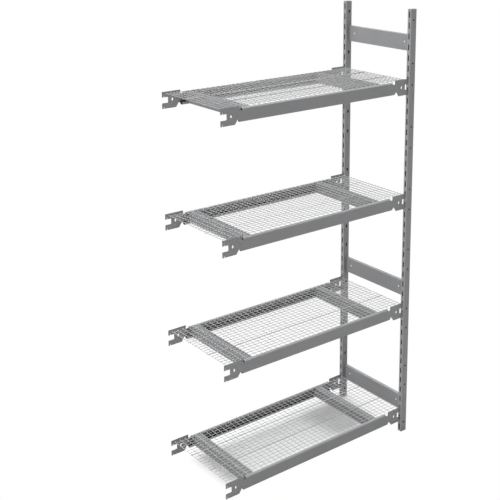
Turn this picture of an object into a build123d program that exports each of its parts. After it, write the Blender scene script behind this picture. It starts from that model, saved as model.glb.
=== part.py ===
from build123d import *
import os

# Boltless steel shelving, one add-on bay: a welded end frame on the right, and
# four levels that hook into it. X runs along the beams, with the end frame at
# +X, -Y is the front, and Z is up. The origin is on the floor under the middle
# of the bay. All sizes are in millimetres.

# ---- driving dimensions ----
SLOT_PITCH = 50.0            # vertical pitch of the beam slots
SLOT_COUNT = 42
BAY_HEIGHT = SLOT_PITCH * SLOT_COUNT
FRAME_DEPTH = 463.0          # outside to outside of the two uprights
BEAM_LENGTH = 1059.5         # hook tip to hook tip
LEVEL_SLOTS = (2, 13, 24, 35)    # slot that takes the upper prong, from the floor

SHEET = 2.0                  # steel of uprights and beams
THIN_SHEET = 1.5             # steel of braces and ties

# uprights: closed rectangular section
UPRIGHT_WIDTH = 35.0         # along X
UPRIGHT_DEPTH = 24.0         # along Y
UPRIGHT_RADIUS = 3.0
SLOT_WIDTH = 5.5
SLOT_HEIGHT = 27.0
SLOT_RADIUS = 1.0
BOLT_HOLE = 8.0              # round holes on the outer narrow faces
INNER_HOLE_HEIGHT = 16.0     # the same holes are obrounds on the inner faces
BOLT_GROUP = 300.0           # a pair of holes straddles every multiple of this
BOLT_PAIR = 100.0
BOLT_END = BOLT_PAIR / 2     # single hole this far from either end

# plastic end caps of the uprights
TOP_RIM = 2.5
FOOT_RIM = 4.0
PLUG_DEPTH = 7.0
PLUG_WALL = 2.0
PLUG_CLEARANCE = 0.1
FOOT_ROUNDING = 1.5

# braces between the uprights
BRACE_HEIGHT = 76.0
BRACE_RADIUS = 2.5
BRACE_CENTRES = (142.0, 742.0, 1942.0)
BRACE_SETBACK = 19.0         # from the inner face of the uprights to the web
BRACE_HOLE = 8.0
BRACE_HOLE_RISE = 2.5        # above the middle of the web
BRACE_HOLE_INSET = 36.0      # from the end of the brace
BRACE_TAB_WIDTH = 13.0
BRACE_TAB_GAP = 1.0

# beams: lipped channel, with a flat connector at each end
WEB_INSET = 11.0             # from the outer face of the uprights to the web
CONNECTOR_LENGTH = 92.5
CONNECTOR_HEIGHT = 74.4
HOOK_REACH = 11.0            # how far a hook goes in past the upright's face
PRONG_HEIGHT = 24.4
GAP_DEPTH = 30.5             # C-shaped gap between the two prongs
GAP_RADIUS = 3.0
SLIT_WIDTH = 3.4             # the upright's wall sits in this slit
SEAT_DEPTH = 17.0            # from the connector's top down to the slit's roof
SEAT_GAP = 0.1
LOCK_HOLE = 8.5              # width of the obround lock hole
LOCK_HOLE_HEIGHT = 13.0
LOCK_HOLE_X = 52.1           # from the hook's tip
LOCK_HOLE_DROP = 36.9        # below the connector's top
BEAM_TOP = 8.0               # all drops below are from the connector's top
BEAM_BOTTOM = 66.0
FLANGE = 12.5
LIP = 12.5
BEVEL = 5.0                  # sloping edge along the top of the beam's face
BEND_RADIUS = 2.6
FLANGE_START = 106.5         # top flange, from the hook's tip
TOP_NOTCH_DROP = 18.0
CHAMFER_START = 70.0         # foot of the connector's sloping lower corner
CHAMFER_END = 84.0
CHAMFER_TOP_DROP = 54.0
NOTCH_WIDTH = 4.0
CORNER_START = 94.0          # bottom flange, from the hook's tip

# ties: inverted channels from beam to beam
TIE_WIDTH = 41.5
TIE_TOP = 11.5
TIE_BOTTOM = 59.5
TIE_CENTRES = (-402.2, 338.3)    # along X
TIE_COPE = 13.5              # the tie's top stops this far from a beam's face
TIE_RADIUS = 2.0
TONGUE_CLEARANCE = 1.0

# wire mesh deck, resting on the beams
WIRE = 2.2
STIFFENER_WIRE = 3.0
DECK_SIDE_GAP = 3.0          # from the deck's end to an upright's face
WIRE_OVERHANG = 2.5
CROSS_COUNT = 39             # wires that run front to back
CROSS_LENGTH = 428.0         # their ends rest on the flanges of the two beams
LONG_COUNT = 19              # wires that run along the bay
LONG_PITCH = 21.65
STIFFENER_OFFSET = 74.5      # each side of the deck's middle
REST_GAP = 0.05

# ---- worked-out places ----
BAY_LENGTH = BEAM_LENGTH - HOOK_REACH + UPRIGHT_WIDTH
RIGHT = BAY_LENGTH / 2
FRAME_FACE = RIGHT - UPRIGHT_WIDTH           # the face that the beams hook into
UPRIGHT_X = RIGHT - UPRIGHT_WIDTH / 2
UPRIGHT_Y = FRAME_DEPTH / 2 - UPRIGHT_DEPTH / 2
INNER_FACE_Y = FRAME_DEPTH / 2 - UPRIGHT_DEPTH
WEB_Y = FRAME_DEPTH / 2 - WEB_INSET          # outer face of a beam's web
BEAM_LEFT = -RIGHT
BEAM_RIGHT = BEAM_LEFT + BEAM_LENGTH
BEAM_MIDDLE = (BEAM_LEFT + BEAM_RIGHT) / 2


def slot_height(index):
    """Height of a slot's centre, counted from 0 at the floor."""
    return SLOT_PITCH * (index + 0.5)


def level_height(slot):
    """Height of a connector's top when its slit sits on the slot's lower edge."""
    return slot_height(slot) - SLOT_HEIGHT / 2 + SEAT_DEPTH + SEAT_GAP


def bolt_heights():
    """Heights of the round holes: one near each end, and pairs between."""
    groups = int(BAY_HEIGHT / BOLT_GROUP)
    heights = [BOLT_END, BAY_HEIGHT - BOLT_END]
    for group in range(1, groups):
        heights += [group * BOLT_GROUP - BOLT_PAIR / 2, group * BOLT_GROUP + BOLT_PAIR / 2]
    return heights


def folded(path, sheet, length):
    """Extrude a bent sheet along +Z: path is its outer side, steel to the left."""
    skin = offset(path, amount=sheet, side=Side.LEFT, kind=Kind.INTERSECTION)
    return extrude(make_face(skin), length)


def mirrored_rear(front_part):
    """The rear twin of a front piece."""
    return mirror(front_part, about=Plane.XZ)


# ---- end frame ----
def upright():
    """Front upright: a tube with slots on its wide faces, holes on its narrow ones."""
    tube_height = BAY_HEIGHT - FOOT_RIM - TOP_RIM
    outline = RectangleRounded(UPRIGHT_WIDTH, UPRIGHT_DEPTH, UPRIGHT_RADIUS)
    hollow = RectangleRounded(
        UPRIGHT_WIDTH - 2 * SHEET, UPRIGHT_DEPTH - 2 * SHEET, UPRIGHT_RADIUS - SHEET
    )
    tube = Pos(UPRIGHT_X, -UPRIGHT_Y, FOOT_RIM) * extrude(outline - hollow, tube_height)

    slot = RectangleRounded(SLOT_WIDTH, SLOT_HEIGHT, SLOT_RADIUS)
    web_middle = -WEB_Y + SHEET / 2
    slots = Sketch() + [
        Plane.YZ * Pos(web_middle, slot_height(index)) * slot for index in range(SLOT_COUNT)
    ]
    tube -= Pos(FRAME_FACE - 1, 0, 0) * extrude(slots, UPRIGHT_WIDTH + 2)

    rounds = Sketch() + [
        Plane.XZ * Pos(UPRIGHT_X, height) * Circle(BOLT_HOLE / 2) for height in bolt_heights()
    ]
    obrounds = Sketch() + [
        Plane.XZ * Pos(UPRIGHT_X, height) * SlotOverall(INNER_HOLE_HEIGHT, BOLT_HOLE, rotation=90)
        for height in bolt_heights()
    ]
    reach = UPRIGHT_DEPTH / 2 + 1
    tube -= Pos(0, -UPRIGHT_Y, 0) * extrude(rounds, reach)
    tube -= Pos(0, -UPRIGHT_Y, 0) * extrude(obrounds, -reach)
    return tube


def plug(height):
    """Hollow stub of a cap, that presses into the end of the tube."""
    width = UPRIGHT_WIDTH - 2 * (SHEET + PLUG_CLEARANCE)
    depth = UPRIGHT_DEPTH - 2 * (SHEET + PLUG_CLEARANCE)
    corner = UPRIGHT_RADIUS - SHEET
    stub = RectangleRounded(width, depth, corner)
    stub -= Rectangle(width - 2 * PLUG_WALL, depth - 2 * PLUG_WALL)
    return extrude(stub, height)


def top_cap():
    """Front upright's top cap: a thin lid with a stub that points down."""
    lid = extrude(RectangleRounded(UPRIGHT_WIDTH, UPRIGHT_DEPTH, UPRIGHT_RADIUS), TOP_RIM)
    lid = fillet(lid.faces().sort_by(Axis.Z)[-1].edges(), TOP_RIM / 3)
    cap = lid + Pos(0, 0, -PLUG_DEPTH) * plug(PLUG_DEPTH)
    return Pos(UPRIGHT_X, -UPRIGHT_Y, BAY_HEIGHT - TOP_RIM) * cap


def foot():
    """Front upright's foot: a pad with rounded lower edges and a stub that points up."""
    pad = extrude(RectangleRounded(UPRIGHT_WIDTH, UPRIGHT_DEPTH, UPRIGHT_RADIUS), FOOT_RIM)
    pad = fillet(pad.faces().sort_by(Axis.Z)[0].edges(), FOOT_ROUNDING)
    cap = pad + Pos(0, 0, FOOT_RIM) * plug(PLUG_DEPTH)
    return Pos(UPRIGHT_X, -UPRIGHT_Y, 0) * cap


def brace(centre):
    """Channel between the uprights: web towards the shelves, weld tabs at its ends."""
    length = 2 * INNER_FACE_Y
    flange = UPRIGHT_WIDTH - BRACE_SETBACK
    half = BRACE_HEIGHT / 2
    path = FilletPolyline(
        (flange, half), (0, half), (0, -half), (flange, -half), radius=BRACE_RADIUS
    )
    section = Plane.XZ.offset(-length / 2) * folded(path, THIN_SHEET, length)
    tab_height = BRACE_HEIGHT - 2 * (THIN_SHEET + BRACE_TAB_GAP)
    tab = Pos(BRACE_TAB_WIDTH / 2, length / 2 - THIN_SHEET / 2, 0) * Box(
        BRACE_TAB_WIDTH, THIN_SHEET, tab_height
    )
    panel = section + tab + mirror(tab, about=Plane.XZ)
    for side in (-1, 1):
        place = Pos(side * (length / 2 - BRACE_HOLE_INSET), BRACE_HOLE_RISE)
        hole = Plane.YZ * place * Circle(BRACE_HOLE / 2)
        panel -= extrude(hole, THIN_SHEET)
    return Pos(FRAME_FACE + BRACE_SETBACK, 0, centre) * panel


# ---- one level: beams and ties ----
def prong_points(top):
    """Outline of a prong with its hook, from the tip's top corner to past the slit."""
    bottom = top - PRONG_HEIGHT
    slit_start = HOOK_REACH - SHEET - (SLIT_WIDTH - SHEET) / 2
    slit_end = slit_start + SLIT_WIDTH
    return [
        (0, top),
        (0, bottom),
        (slit_start, bottom),
        (slit_start, top - SEAT_DEPTH),
        (slit_end, top - SEAT_DEPTH),
        (slit_end, bottom),
    ]


def connector():
    """Flat left end of a beam, from the hook's tip to the flanges, in the XZ plane."""
    lower_top = PRONG_HEIGHT - CONNECTOR_HEIGHT
    points = prong_points(0)
    points += [(GAP_DEPTH, -PRONG_HEIGHT), (GAP_DEPTH, lower_top)]
    points += prong_points(lower_top)
    points += [
        (CHAMFER_START, -CONNECTOR_HEIGHT),
        (CHAMFER_END, -CHAMFER_TOP_DROP),
        (CHAMFER_END + NOTCH_WIDTH, -CHAMFER_TOP_DROP),
        (CORNER_START, BEND_RADIUS - BEAM_BOTTOM),
        (FLANGE_START, BEND_RADIUS - BEAM_BOTTOM),
        (FLANGE_START, -TOP_NOTCH_DROP),
        (CONNECTOR_LENGTH, -TOP_NOTCH_DROP),
        (CONNECTOR_LENGTH, 0),
    ]
    outline = make_face(Polyline(*points, close=True))
    gap_corners = [
        corner for corner in outline.vertices()
        if abs(corner.X - GAP_DEPTH) < 0.01
    ]
    outline = fillet(gap_corners, GAP_RADIUS)
    lock_hole = SlotOverall(LOCK_HOLE_HEIGHT, LOCK_HOLE, rotation=90)
    return outline - Pos(LOCK_HOLE_X, -LOCK_HOLE_DROP) * lock_hole


def top_flange_relief():
    """Cut for the left end of a channel centred on X = 0, where only the bottom flange goes on."""
    length = FLANGE_START - CORNER_START
    height = BEAM_BOTTOM - LIP
    behind = Pos(0, SHEET + FLANGE / 2, -height / 2) * Box(length, FLANGE, height)
    edge = Pos(0, SHEET, -TOP_NOTCH_DROP / 2) * Box(length, 4 * SHEET, TOP_NOTCH_DROP)
    return Pos(CORNER_START + length / 2 - BEAM_LENGTH / 2, 0, 0) * (behind + edge)


def front_beam():
    """Front beam, with the connector's top at Z = 0 and its web's face at Y = 0."""
    path = FilletPolyline(
        (FLANGE, -BEAM_TOP - LIP),
        (FLANGE, -BEAM_TOP),
        (BEVEL, -BEAM_TOP),
        (0, -BEAM_TOP - BEVEL),
        (0, -BEAM_BOTTOM),
        (FLANGE, -BEAM_BOTTOM),
        (FLANGE, -BEAM_BOTTOM + LIP),
        radius=BEND_RADIUS,
    )
    half = BEAM_LENGTH / 2 - CORNER_START
    channel = Pos(-half, 0, 0) * (Plane.YZ * folded(path, SHEET, 2 * half))
    relief = top_flange_relief()
    channel -= relief
    channel -= mirror(relief, about=Plane.YZ)
    plate = Plane.XZ * extrude(connector(), -SHEET)
    left = Pos(BEAM_LEFT, 0, 0) * plate
    right = Pos(BEAM_RIGHT, 0, 0) * mirror(plate, about=Plane.YZ)
    return Pos(BEAM_MIDDLE, 0, 0) * channel + left + right


def tie():
    """Inverted channel whose coped ends sit on the lower lips of the two beams."""
    half = TIE_WIDTH / 2
    reach = WEB_Y - SHEET - TONGUE_CLEARANCE
    path = FilletPolyline(
        (half, -TIE_BOTTOM), (half, -TIE_TOP), (-half, -TIE_TOP), (-half, -TIE_BOTTOM),
        radius=TIE_RADIUS,
    )
    channel = Plane.XZ.offset(-reach) * folded(path, THIN_SHEET, 2 * reach)

    tongue_top = -BEAM_TOP - LIP - TONGUE_CLEARANCE
    tongue_bottom = -BEAM_BOTTOM + LIP
    lip_face = WEB_Y - FLANGE - TONGUE_CLEARANCE
    hook_start = WEB_Y - FLANGE + SHEET + TONGUE_CLEARANCE / 2
    wide = TIE_WIDTH + 2
    tall = BEAM_BOTTOM
    top_cut = Pos(0, (WEB_Y - TIE_COPE + WEB_Y) / 2, tongue_top + tall / 2) * Box(
        wide, TIE_COPE, tall
    )
    lip_cut = Pos(0, (lip_face + hook_start) / 2, tongue_bottom - tall / 2) * Box(
        wide, hook_start - lip_face, tall
    )
    for cut in (top_cut, lip_cut):
        channel -= cut
        channel -= mirror(cut, about=Plane.XZ)
    return channel


# ---- one deck: three layers of round wire ----
def wire_along_x(length, diameter):
    return Plane.YZ * extrude(Circle(diameter / 2), length)


def wire_along_y(length, diameter):
    return Plane.XZ * extrude(Circle(diameter / 2), -length)


DECK_LEFT = BEAM_MIDDLE - (FRAME_FACE - BEAM_MIDDLE - DECK_SIDE_GAP)
DECK_LENGTH = 2 * (FRAME_FACE - DECK_SIDE_GAP - BEAM_MIDDLE)
LONG_SPAN = LONG_PITCH * (LONG_COUNT - 1)
CROSS_Z = -BEAM_TOP + REST_GAP + WIRE / 2


def cross_wires():
    """Wires from the front beam to the rear beam."""
    pitch = (DECK_LENGTH - 2 * WIRE_OVERHANG) / (CROSS_COUNT - 1)
    wire = wire_along_y(CROSS_LENGTH, WIRE)
    start = DECK_LEFT + WIRE_OVERHANG
    return [
        Pos(start + index * pitch, -CROSS_LENGTH / 2, CROSS_Z) * wire
        for index in range(CROSS_COUNT)
    ]


def long_wires():
    """Wires along the bay, welded on top of the cross wires."""
    wire = wire_along_x(DECK_LENGTH, WIRE)
    return [
        Pos(DECK_LEFT, index * LONG_PITCH - LONG_SPAN / 2, CROSS_Z + WIRE) * wire
        for index in range(LONG_COUNT)
    ]


def stiffener_wires():
    """Two thicker wires along the bay, welded under the cross wires."""
    wire = wire_along_x(DECK_LENGTH, STIFFENER_WIRE)
    drop = (WIRE + STIFFENER_WIRE) / 2
    return [
        Pos(DECK_LEFT, side * STIFFENER_OFFSET, CROSS_Z - drop) * wire
        for side in (-1, 1)
    ]


# ---- write every node ----
def write(name, shape):
    """Write one node; a list of solids becomes one group of separate solids."""
    body = Compound(children=list(shape)) if isinstance(shape, list) else shape
    export_step(body, os.path.join("parts", name + ".step"))


def write_end_frame():
    for name, front_part in (("upright", upright()), ("top_cap", top_cap()), ("foot", foot())):
        write("front_" + name, front_part)
        write("rear_" + name, mirrored_rear(front_part))
    for name, centre in zip(("lower", "middle", "upper"), BRACE_CENTRES):
        write(name + "_brace", brace(centre))


def write_levels():
    front = Pos(0, -WEB_Y, 0) * front_beam()
    rear = mirrored_rear(front)
    one_tie = tie()
    layers = (
        ("cross_wires", cross_wires()),
        ("long_wires", long_wires()),
        ("stiffener_wires", stiffener_wires()),
    )
    for number, slot in enumerate(LEVEL_SLOTS, start=1):
        place = Pos(0, 0, level_height(slot))
        level = f"level_{number}_"
        write(level + "front_beam", place * front)
        write(level + "rear_beam", place * rear)
        for side, centre in zip(("left", "right"), TIE_CENTRES):
            write(level + side + "_tie", place * Pos(centre, 0, 0) * one_tie)
        for layer, wires in layers:
            write(f"deck_{number}_" + layer, [place * wire for wire in wires])


os.makedirs("parts", exist_ok=True)
write_end_frame()
write_levels()
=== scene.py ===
import math

import bmesh
import bpy
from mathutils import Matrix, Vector


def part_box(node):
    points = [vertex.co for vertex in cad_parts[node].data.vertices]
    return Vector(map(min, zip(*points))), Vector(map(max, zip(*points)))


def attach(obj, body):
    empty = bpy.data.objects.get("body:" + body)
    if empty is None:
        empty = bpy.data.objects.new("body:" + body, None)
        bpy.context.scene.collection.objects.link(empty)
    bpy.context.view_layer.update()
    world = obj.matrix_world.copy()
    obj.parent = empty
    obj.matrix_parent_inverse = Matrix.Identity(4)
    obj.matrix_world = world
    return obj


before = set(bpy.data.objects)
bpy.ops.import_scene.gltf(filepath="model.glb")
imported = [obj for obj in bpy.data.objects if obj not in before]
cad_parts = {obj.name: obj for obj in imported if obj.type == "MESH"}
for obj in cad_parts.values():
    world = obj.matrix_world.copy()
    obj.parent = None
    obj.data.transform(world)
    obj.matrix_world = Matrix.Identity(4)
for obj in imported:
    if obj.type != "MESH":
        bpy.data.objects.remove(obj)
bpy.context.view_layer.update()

# Looks of the boltless shelving bay. Everything is in metres, in the frame's own axes:
# +X runs along the beams to the end frame, -Y is the front, and +Z is up.

MM = 0.001
LEVELS = (1, 2, 3, 4)
BRACES = ("lower_brace", "middle_brace", "upper_brace")

# ---- mesh decks ----
CROSS_COUNT = 39             # wires that run front to back
LONG_COUNT = 19              # wires that run along the bay
STIFFENER_COUNT = 2
SPOT_SIDES = 8
SPOT_SPREAD = 0.66           # mean reach of a weld spot, as a share of the wire's diameter
SPOT_FILL = 0.16             # share by which it reaches further in the corners, and less along the wires
SPOT_HEIGHT = 0.36           # half height, as a share of the wire's diameter
SPOT_SHOULDER = 0.72         # reach of its upper and lower loops, as a share of the middle loop's
SPOT_SHOULDER_HEIGHT = 0.7   # height of those loops, as a share of the half height

# ---- weld beads of the braces ----
BEAD_RADIUS = 1.8 * MM
BEAD_LENGTH = 20 * MM
BEAD_RIPPLE = 1.4 * MM       # distance between two ripples
BEAD_RIPPLE_DEPTH = 0.10     # as a share of the radius
BEAD_EDGE_GAP = 4 * MM       # from the brace's upper or lower edge
BEAD_STEPS = 36
BEAD_SIDES = 7
BEAD_TIP = 0.15              # radius at its ends, as a share of the full radius
BEAD_BLUNTNESS = 8           # a higher power keeps the full radius closer to the ends

# ---- grain of the surfaces, in waves per metre ----
COAT_GRAIN = 1400
COAT_PEEL = 420
COAT_PATCHES = 9
WEAR_PATCHES = 60
STREAKS = 3.0                # before they are stretched
WIRE_DULLNESS = 35
WELD_LUMPS = 900
WELD_HEAT = 120
PLASTIC_PEBBLES = 1500.0
PLASTIC_HAZE = 70
FLOOR_SPECKLE = 30

# ---- wear, and painted shade ----
EDGE_REACH = 2.6 * MM        # how far the worn, darker edge of the coat reaches
PLASTIC_EDGE_REACH = 0.8 * MM
SCUFF_STRENGTH = 0.06
SCUFF_POLISH = 0.10          # how much smoother a scuff is than the coat around it
RECESS_REACH = 60 * MM       # how far off a wall the painted recess shade still reaches
RECESS_CLOSED = 0.68         # share of open directions at which a recess is darkest
RECESS_SHADE_TONE = 0.08           # painted shade tone there; an open face has 1
# painted shadow on the floor: its colour is darker where parts above close it in
SHADE_REACH = 0.16           # how far above the floor a part still darkens it with painted shadow
SHADE_CLOSED = 0.50          # share of open directions at which the floor is darkest
SHADE_OPEN = 0.95            # and at which it has its full tone
SHADE_TONE = 0.50

# ---- colours (linear) ----
STEEL = (0.330, 0.332, 0.338)
# the ties' and braces' colours are the same grey coat as STEEL, painted darker: painted shade on the
# ties and braces
TIE_STEEL_SHADED = (0.230, 0.232, 0.236)
BRACE_STEEL_SHADED = (0.300, 0.302, 0.308)
STEEL_EDGE = (0.075, 0.076, 0.078)
WIRE_STEEL = (0.550, 0.553, 0.558)
WIRE_SHADE = (0.430, 0.432, 0.437)
SPOT_STEEL = (0.260, 0.260, 0.263)
BEAD_STEEL = (0.260, 0.262, 0.268)
SCUFF_STEEL = (0.50, 0.50, 0.51)
PLASTIC = (0.300, 0.302, 0.308)
PLASTIC_FADED = (0.36, 0.36, 0.37)
PLASTIC_EDGE = (0.45, 0.45, 0.46)
FLOOR = (0.820, 0.822, 0.825)
FLOOR_BOUNCE = (0.480, 0.480, 0.483)    # what the floor gives back to the object

# ---- floor: the part that shows shade fades out between two places, given with the shade at each ----
FLOOR_HALF = 30.0
SHADE_LEFT = (-0.455, -0.38, 0.0, 1.0)
SHADE_RIGHT = (0.48, 0.62, 1.0, 0.0)
SHADE_FRONT = (-0.13, -0.03, 0.0, 1.0)
SHADE_REAR = (0.25, 0.40, 1.0, 0.0)

# ---- light: name, azimuth and elevation in degrees, strength ----
SUN_ANGLE = math.radians(50)
WORLD_GLOW = 0.03
SUNS = (
    ("top_light", 0, 90, 0.75),
    ("low_left_light", -90, 30, 1.20),
    ("high_left_light", -90, 60, 1.50),
    ("right_light", 90, 45, 2.30),
    ("back_light", 180, 45, 1.30),
)

# ---- camera ----
AZIMUTH = math.radians(-38.68)
ELEVATION = math.radians(11.93)
DISTANCE = 4.589
AIM = Vector((0.075, 0.107, 1.668))
LENS = 71.68
SENSOR = 36.0
SHIFT_X = -0.0806
SHIFT_Y = -0.2940


# ---- shader helpers ----
def make(tree, kind, inputs=None, **settings):
    """Add a shader node; an input is given a value, or a socket to link to."""
    node = tree.nodes.new("ShaderNode" + kind)
    for name, value in settings.items():
        setattr(node, name, value)
    for name, value in (inputs or {}).items():
        connect(tree, value, node.inputs[name])
    return node


def connect(tree, value, socket):
    if isinstance(value, bpy.types.NodeSocket):
        tree.links.new(value, socket)
    else:
        socket.default_value = value


def maths(tree, operation, first, second):
    return make(tree, "Math", {0: first, 1: second}, operation=operation).outputs[0]


def spread(tree, value, low, high, start=0.0, end=1.0):
    """Map value from low..high to start..end, clamped."""
    inputs = {"Value": value, "From Min": low, "From Max": high, "To Min": start, "To Max": end}
    return make(tree, "MapRange", inputs).outputs["Result"]


def blend_colour(tree, factor, first, second, mode="MIX"):
    node = make(tree, "Mix", data_type="RGBA", blend_type=mode)
    connect(tree, factor, node.inputs["Factor"])
    for value, name in ((first, "A_Color"), (second, "B_Color")):
        socket = next(s for s in node.inputs if s.identifier == name)
        connect(tree, value if isinstance(value, bpy.types.NodeSocket) else (*value, 1), socket)
    return next(s for s in node.outputs if s.identifier == "Result_Color")


def grey(tree, tone):
    return make(tree, "CombineColor", {"Red": tone, "Green": tone, "Blue": tone}).outputs["Color"]


def object_place(tree):
    """The point being shaded, in the object's own coordinates."""
    return make(tree, "TexCoord").outputs["Object"]


def noise(tree, scale, detail, roughness=0.5, place=None):
    """Noise fixed to the object; scale is in waves per metre."""
    inputs = {
        "Vector": place or object_place(tree),
        "Scale": scale,
        "Detail": detail,
        "Roughness": roughness,
    }
    return make(tree, "TexNoise", inputs).outputs["Fac"]


def streaks(tree, axis, across, along, detail, roughness):
    """Noise drawn out along one axis; across and along multiply its waves per metre."""
    stretch = [across, across, across]
    stretch[axis] = along
    place = make(tree, "Mapping", {"Vector": object_place(tree), "Scale": stretch}).outputs["Vector"]
    return noise(tree, STREAKS, detail, roughness, place)


def edge_mask(tree, radius):
    """1 within radius of a sharp edge, 0 on open faces."""
    rounded = make(tree, "Bevel", {"Radius": radius}, samples=4).outputs["Normal"]
    flat = make(tree, "NewGeometry").outputs["Normal"]
    dot = make(tree, "VectorMath", {0: rounded, 1: flat}, operation="DOT_PRODUCT").outputs["Value"]
    return spread(tree, dot, 0.97, 0.80)


def bump(tree, height, distance, strength, normal=None):
    inputs = {"Height": height, "Distance": distance, "Strength": strength}
    if normal is not None:
        inputs["Normal"] = normal
    return make(tree, "Bump", inputs).outputs["Normal"]


def start_material(name):
    """A new material's node tree and its Principled shader."""
    material = bpy.data.materials.new(name)
    material.use_nodes = True
    tree = material.node_tree
    return material, tree, tree.nodes["Principled BSDF"]


def painted_recess_shade(tree):
    """Painted shade inside a part's own channels and tubes: 1 on its open faces."""
    own = make(tree, "AmbientOcclusion", {"Distance": RECESS_REACH}, samples=6, only_local=True)
    openness = own.outputs["AO"]
    return spread(tree, openness, RECESS_CLOSED, 1.0, RECESS_SHADE_TONE, 1.0)


# ---- materials ----
def powder_coat(name, colour, along):
    """Grey powder coat on sheet steel: fine orange peel, long faint scuffs, dark worn edges, painted
    shade in its recesses.
    """
    material, tree, shader = start_material(name)
    grain = noise(tree, COAT_GRAIN, 2.0)
    peel = noise(tree, COAT_PEEL, 2.0)
    patches = noise(tree, COAT_PATCHES, 3.0)
    scuffs = spread(tree, streaks(tree, along, 40.0, 2.0, 5.0, 0.62), 0.60, 0.72)

    tone = maths(tree, "ADD", spread(tree, patches, 0.3, 0.7, 0.97, 1.03),
                 spread(tree, grain, 0.3, 0.7, -0.03, 0.03))
    # painted shade: the part's own recesses darken the coat's tone
    tone = maths(tree, "MULTIPLY", tone, painted_recess_shade(tree))
    painted = blend_colour(tree, 1.0, colour, grey(tree, tone), mode="MULTIPLY")
    rubbed = blend_colour(tree, maths(tree, "MULTIPLY", scuffs, SCUFF_STRENGTH), painted, SCUFF_STEEL)
    worn = maths(tree, "MULTIPLY", edge_mask(tree, EDGE_REACH),
                 spread(tree, noise(tree, WEAR_PATCHES, 3.0), 0.25, 0.6, 0.55, 0.95))
    connect(tree, blend_colour(tree, worn, rubbed, STEEL_EDGE), shader.inputs["Base Color"])

    satin = spread(tree, patches, 0.3, 0.7, 0.52, 0.60)
    rough = maths(tree, "SUBTRACT", satin, maths(tree, "MULTIPLY", scuffs, SCUFF_POLISH))
    connect(tree, rough, shader.inputs["Roughness"])
    shader.inputs["Specular IOR Level"].default_value = 0.35
    skin = bump(tree, peel, 0.10 * MM, 0.5)
    skin = bump(tree, grain, 0.03 * MM, 0.6, skin)
    connect(tree, skin, shader.inputs["Normal"])
    return material


def coated_wire(name, along):
    """Drawn wire: fine marks along its length, a little duller in patches."""
    material, tree, shader = start_material(name)
    drawn = streaks(tree, along, 700.0, 12.0, 3.0, 0.6)
    dull = noise(tree, WIRE_DULLNESS, 3.0)
    both = maths(tree, "ADD", maths(tree, "MULTIPLY", drawn, 0.5), maths(tree, "MULTIPLY", dull, 0.5))
    shade = spread(tree, both, 0.38, 0.62)
    connect(tree, blend_colour(tree, shade, WIRE_STEEL, WIRE_SHADE), shader.inputs["Base Color"])
    shader.inputs["Specular IOR Level"].default_value = 0.25
    connect(tree, spread(tree, dull, 0.3, 0.7, 0.50, 0.66), shader.inputs["Roughness"])
    connect(tree, bump(tree, drawn, 0.04 * MM, 0.6), shader.inputs["Normal"])
    return material


def weld_metal(name, colour):
    """Fused steel under the coat: lumpy, with darker heat marks."""
    material, tree, shader = start_material(name)
    lumps = noise(tree, WELD_LUMPS, 3.0)
    heat = spread(tree, noise(tree, WELD_HEAT, 2.0), 0.35, 0.65)
    dark = tuple(channel * 0.6 for channel in colour)
    connect(tree, blend_colour(tree, heat, colour, dark), shader.inputs["Base Color"])
    connect(tree, spread(tree, lumps, 0.3, 0.7, 0.42, 0.62), shader.inputs["Roughness"])
    connect(tree, bump(tree, lumps, 0.12 * MM, 0.7), shader.inputs["Normal"])
    return material


def moulded_plastic(name, colour):
    """Grained plastic of the top caps and the feet, polished a little along the edges."""
    material, tree, shader = start_material(name)
    pebbles = make(tree, "TexVoronoi", {"Vector": object_place(tree), "Scale": PLASTIC_PEBBLES})
    pits = pebbles.outputs["Distance"]
    haze = noise(tree, PLASTIC_HAZE, 3.0)
    edge = edge_mask(tree, PLASTIC_EDGE_REACH)
    faded = blend_colour(tree, spread(tree, haze, 0.35, 0.65, 0.0, 0.25), colour, PLASTIC_FADED)
    polished = blend_colour(tree, maths(tree, "MULTIPLY", edge, 0.3), faded, PLASTIC_EDGE)
    connect(tree, polished, shader.inputs["Base Color"])
    connect(tree, spread(tree, edge, 0.0, 1.0, 0.62, 0.45), shader.inputs["Roughness"])
    connect(tree, bump(tree, pits, 0.08 * MM, 0.5), shader.inputs["Normal"])
    return material


def plain_floor(name):
    """Pale, matte studio floor. Below the bay the camera sees it lit by the lamps, its colour darkened
    by painted shadow under the parts near it, and plain white around it; the object gets back the light
    of a duller floor."""
    material, tree, shader = start_material(name)
    speckle = noise(tree, FLOOR_SPECKLE, 2.0)
    pale = tuple(channel * 0.985 for channel in FLOOR)
    # painted shadow: the floor's colour darkens under the parts near it
    openness = make(tree, "AmbientOcclusion", {"Distance": SHADE_REACH}, samples=16).outputs["AO"]
    shade = spread(tree, openness, SHADE_CLOSED, SHADE_OPEN, SHADE_TONE, 1.0)
    colour = blend_colour(tree, speckle, FLOOR, pale)
    dimmed = blend_colour(tree, 1.0, colour, grey(tree, shade), mode="MULTIPLY")
    connect(tree, dimmed, shader.inputs["Base Color"])
    shader.inputs["Roughness"].default_value = 0.9
    shader.inputs["Specular IOR Level"].default_value = 0.1
    white = make(tree, "Emission", {"Color": (1, 1, 1, 1), "Strength": 1.0}).outputs[0]
    looks = make(tree, "MixShader", {0: under_bay(tree), 1: white, 2: shader.outputs[0]}).outputs[0]
    dull = make(tree, "BsdfDiffuse", {"Color": (*FLOOR_BOUNCE, 1)}).outputs[0]
    seen = make(tree, "LightPath").outputs["Is Camera Ray"]
    mix = make(tree, "MixShader", {0: seen, 1: dull, 2: looks}).outputs[0]
    tree.links.new(mix, tree.nodes["Material Output"].inputs["Surface"])
    return material


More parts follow.
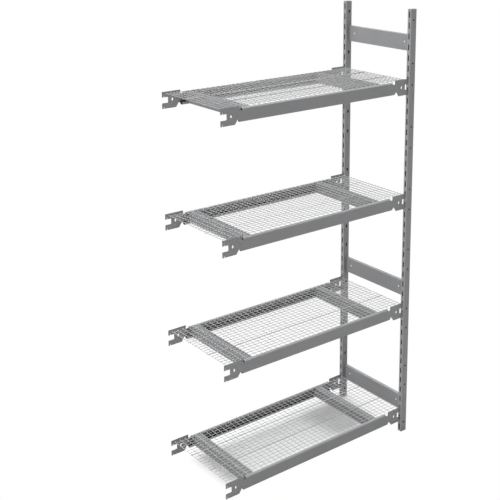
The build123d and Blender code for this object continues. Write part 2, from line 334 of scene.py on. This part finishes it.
def under_bay(tree):
    """1 on the floor below the lowest shelf, where its shadow lies, fading to 0 around it."""
    place = make(tree, "SeparateXYZ", {0: object_place(tree)})
    x, y = place.outputs["X"], place.outputs["Y"]
    sides = maths(tree, "MULTIPLY", spread(tree, x, *SHADE_LEFT), spread(tree, x, *SHADE_RIGHT))
    depth = maths(tree, "MULTIPLY", spread(tree, y, *SHADE_FRONT), spread(tree, y, *SHADE_REAR))
    return maths(tree, "MULTIPLY", sides, depth)


# ---- mesh pieces ----
def new_piece(name, mesh_data, material, body):
    """Turn the mesh data into a smooth piece that rides on a body of the frame."""
    mesh = bpy.data.meshes.new(name)
    mesh_data.to_mesh(mesh)
    mesh_data.free()
    mesh.materials.append(material)
    piece = bpy.data.objects.new(name, mesh)
    bpy.context.scene.collection.objects.link(piece)
    for face in mesh.polygons:
        face.use_smooth = True
    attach(piece, body)


def ring(data, centre, radii, height):
    """One closed loop of corners; radii gives each corner's distance from the centre."""
    count = len(radii)
    corners = []
    for index, radius in enumerate(radii):
        angle = 2 * math.pi * index / count
        offset = Vector((radius * math.cos(angle), radius * math.sin(angle), height))
        corners.append(data.verts.new(centre + offset))
    return corners


def bridge(data, lower, upper):
    count = len(lower)
    for index in range(count):
        after = (index + 1) % count
        data.faces.new((lower[index], lower[after], upper[after], upper[index]))


def close(data, corners, tip, up):
    """Fan of faces from a loop to its tip."""
    count = len(corners)
    for index in range(count):
        pair = (corners[index], corners[(index + 1) % count])
        data.faces.new((*pair, tip) if up else (*reversed(pair), tip))


def weld_spot(data, centre, diameter):
    """Small pillow of fused metal where two wires cross, fuller in the corners between them."""
    radii = []
    for index in range(SPOT_SIDES):
        angle = 2 * math.pi * index / SPOT_SIDES
        fill = 1 - SPOT_FILL * math.cos(4 * angle)
        radii.append(diameter * SPOT_SPREAD * fill)
    shoulders = [radius * SPOT_SHOULDER for radius in radii]
    half = diameter * SPOT_HEIGHT
    lower = ring(data, centre, shoulders, -half * SPOT_SHOULDER_HEIGHT)
    middle = ring(data, centre, radii, 0)
    upper = ring(data, centre, shoulders, half * SPOT_SHOULDER_HEIGHT)
    bridge(data, lower, middle)
    bridge(data, middle, upper)
    close(data, lower, data.verts.new(centre + Vector((0, 0, -half))), up=False)
    close(data, upper, data.verts.new(centre + Vector((0, 0, half))), up=True)


def centres(low, high, count, diameter):
    """Centre lines of evenly spaced wires that fill low..high."""
    step = (high - low - diameter) / (count - 1)
    return [low + diameter / 2 + index * step for index in range(count)]


def weld_spots(number, material):
    """All weld spots of one deck, as one piece."""
    deck = f"deck_{number}"
    cross_low, cross_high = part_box(f"{deck}_cross_wires")
    long_low, long_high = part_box(f"{deck}_long_wires")
    stiff_low, stiff_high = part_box(f"{deck}_stiffener_wires")
    diameter = cross_high.z - cross_low.z
    thick = stiff_high.z - stiff_low.z
    columns = centres(cross_low.x, cross_high.x, CROSS_COUNT, diameter)
    rows = centres(long_low.y, long_high.y, LONG_COUNT, diameter)
    stiff_rows = centres(stiff_low.y, stiff_high.y, STIFFENER_COUNT, thick)
    data = bmesh.new()
    for x in columns:
        for y in rows:
            weld_spot(data, Vector((x, y, cross_high.z)), diameter)
        for y in stiff_rows:
            weld_spot(data, Vector((x, y, cross_low.z)), (diameter + thick) / 2)
    new_piece(f"{deck}_weld_spots", data, material, deck)


def weld_bead(data, start, length, across):
    """Rippled bead that runs up from start; across points out of the corner that it fills."""
    side = Vector((0, 0, 1)).cross(across)
    before = None
    for index in range(BEAD_STEPS + 1):
        share = index / BEAD_STEPS
        taper = math.sqrt(max(0.0, 1 - (2 * share - 1) ** BEAD_BLUNTNESS))
        ripple = 1 + BEAD_RIPPLE_DEPTH * math.cos(2 * math.pi * share * length / BEAD_RIPPLE)
        radius = BEAD_RADIUS * max(BEAD_TIP, taper) * ripple
        centre = start + Vector((0, 0, share * length))
        loop = []
        for corner in range(BEAD_SIDES):
            angle = 2 * math.pi * corner / BEAD_SIDES
            offset = across * math.cos(angle) + side * math.sin(angle)
            loop.append(data.verts.new(centre + offset * radius))
        if before:
            bridge(data, before, loop)
        else:
            data.faces.new(list(reversed(loop)))
        before = loop
    data.faces.new(before)


def brace_welds(name, material):
    """Short beads, near the top and the bottom of both ends of a brace."""
    low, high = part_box(name)
    data = bmesh.new()
    heights = (low.z + BEAD_EDGE_GAP, high.z - BEAD_EDGE_GAP - BEAD_LENGTH)
    for y, inward in ((low.y, 1), (high.y, -1)):
        across = Vector((-1, inward, 0)).normalized()
        for height in heights:
            weld_bead(data, Vector((low.x, y, height)), BEAD_LENGTH, across)
    new_piece(f"{name}_welds", data, material, "end_frame")


# ---- finish of the CAD nodes ----
def paint(node, material):
    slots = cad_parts[node].data.materials
    slots.clear()
    slots.append(material)


def paint_all():
    upright_coat = powder_coat("upright_powder_coat", STEEL, along=2)
    # the braces and ties take darker copies of the same coat: painted shade
    shaded_brace_coat = powder_coat("brace_powder_coat_shaded", BRACE_STEEL_SHADED, along=1)
    beam_coat = powder_coat("beam_powder_coat", STEEL, along=0)
    shaded_tie_coat = powder_coat("tie_powder_coat_shaded", TIE_STEEL_SHADED, along=1)
    plastic = moulded_plastic("cap_plastic_grained", PLASTIC)
    cross_wire = coated_wire("cross_wire_coat", along=1)
    long_wire = coated_wire("long_wire_coat", along=0)
    for side in ("front", "rear"):
        paint(f"{side}_upright", upright_coat)
        paint(f"{side}_top_cap", plastic)
        paint(f"{side}_foot", plastic)
    for brace in BRACES:
        paint(brace, shaded_brace_coat)
    for number in LEVELS:
        for beam in ("front_beam", "rear_beam"):
            paint(f"level_{number}_{beam}", beam_coat)
        for tie in ("left_tie", "right_tie"):
            paint(f"level_{number}_{tie}", shaded_tie_coat)
        paint(f"deck_{number}_cross_wires", cross_wire)
        paint(f"deck_{number}_long_wires", long_wire)
        paint(f"deck_{number}_stiffener_wires", long_wire)


# ---- stage ----
def build_floor():
    half = FLOOR_HALF
    corners = [(-half, -half, 0), (half, -half, 0), (half, half, 0), (-half, half, 0)]
    mesh = bpy.data.meshes.new("floor")
    mesh.from_pydata(corners, [], [(0, 1, 2, 3)])
    mesh.materials.append(plain_floor("pale_floor"))
    floor = bpy.data.objects.new("floor", mesh)
    bpy.context.scene.collection.objects.link(floor)


def soft_sun(name, azimuth, elevation, strength):
    """Wide, soft light from afar; azimuth 0 is the front and 90 the +X side, in degrees."""
    turn = math.radians(azimuth)
    rise = math.radians(elevation)
    back = Vector((
        math.sin(turn) * math.cos(rise),
        -math.cos(turn) * math.cos(rise),
        math.sin(rise),
    ))
    lamp = bpy.data.lights.new(name, "SUN")
    lamp.angle = SUN_ANGLE
    lamp.energy = strength
    holder = bpy.data.objects.new(name, lamp)
    holder.rotation_euler = back.to_track_quat("Z", "Y").to_euler()
    bpy.context.scene.collection.objects.link(holder)


def light_world():
    """White background for the camera; it adds only a faint glow of its own."""
    world = bpy.data.worlds.new("studio")
    bpy.context.scene.world = world
    world.use_nodes = True
    tree = world.node_tree
    tree.nodes.clear()
    glow = make(tree, "Background", {"Color": (1, 1, 1, 1), "Strength": WORLD_GLOW})
    white = make(tree, "Background", {"Color": (1, 1, 1, 1), "Strength": 1.0})
    camera_ray = make(tree, "LightPath").outputs["Is Camera Ray"]
    mix = make(tree, "MixShader", {0: camera_ray, 1: glow.outputs[0], 2: white.outputs[0]})
    make(tree, "OutputWorld", {"Surface": mix.outputs[0]})


def build_stage():
    build_floor()
    light_world()
    for name, azimuth, elevation, strength in SUNS:
        soft_sun(name, azimuth, elevation, strength)
    bpy.context.scene.view_settings.view_transform = "Standard"


def drive_shift(camera, holder, channel, value):
    """The lens shift holds only at the camera's own place, so other views stay centred."""
    driver = camera.driver_add(channel).driver
    place = driver.variables.new()
    place.name = "x"
    place.type = "SINGLE_PROP"
    place.targets[0].id = holder
    place.targets[0].data_path = "location[0]"
    driver.expression = f"{value} if abs(x - {holder.location.x:.6f}) < 0.0001 else 0.0"


def build_camera():
    camera = bpy.data.cameras.new("camera")
    camera.sensor_width = SENSOR
    camera.lens = LENS
    holder = bpy.data.objects.new("camera", camera)
    back = Vector((
        math.sin(AZIMUTH) * math.cos(ELEVATION),
        -math.cos(AZIMUTH) * math.cos(ELEVATION),
        math.sin(ELEVATION),
    ))
    holder.location = AIM + back * DISTANCE
    holder.rotation_euler = back.to_track_quat("Z", "Y").to_euler()
    bpy.context.scene.collection.objects.link(holder)
    bpy.context.scene.camera = holder
    drive_shift(camera, holder, "shift_x", SHIFT_X)
    drive_shift(camera, holder, "shift_y", SHIFT_Y)


paint_all()
spot_metal = weld_metal("weld_spot_metal", SPOT_STEEL)
bead_metal = weld_metal("weld_bead_metal", BEAD_STEEL)
for level_number in LEVELS:
    weld_spots(level_number, spot_metal)
for brace_name in BRACES:
    brace_welds(brace_name, bead_metal)
build_stage()
build_camera()
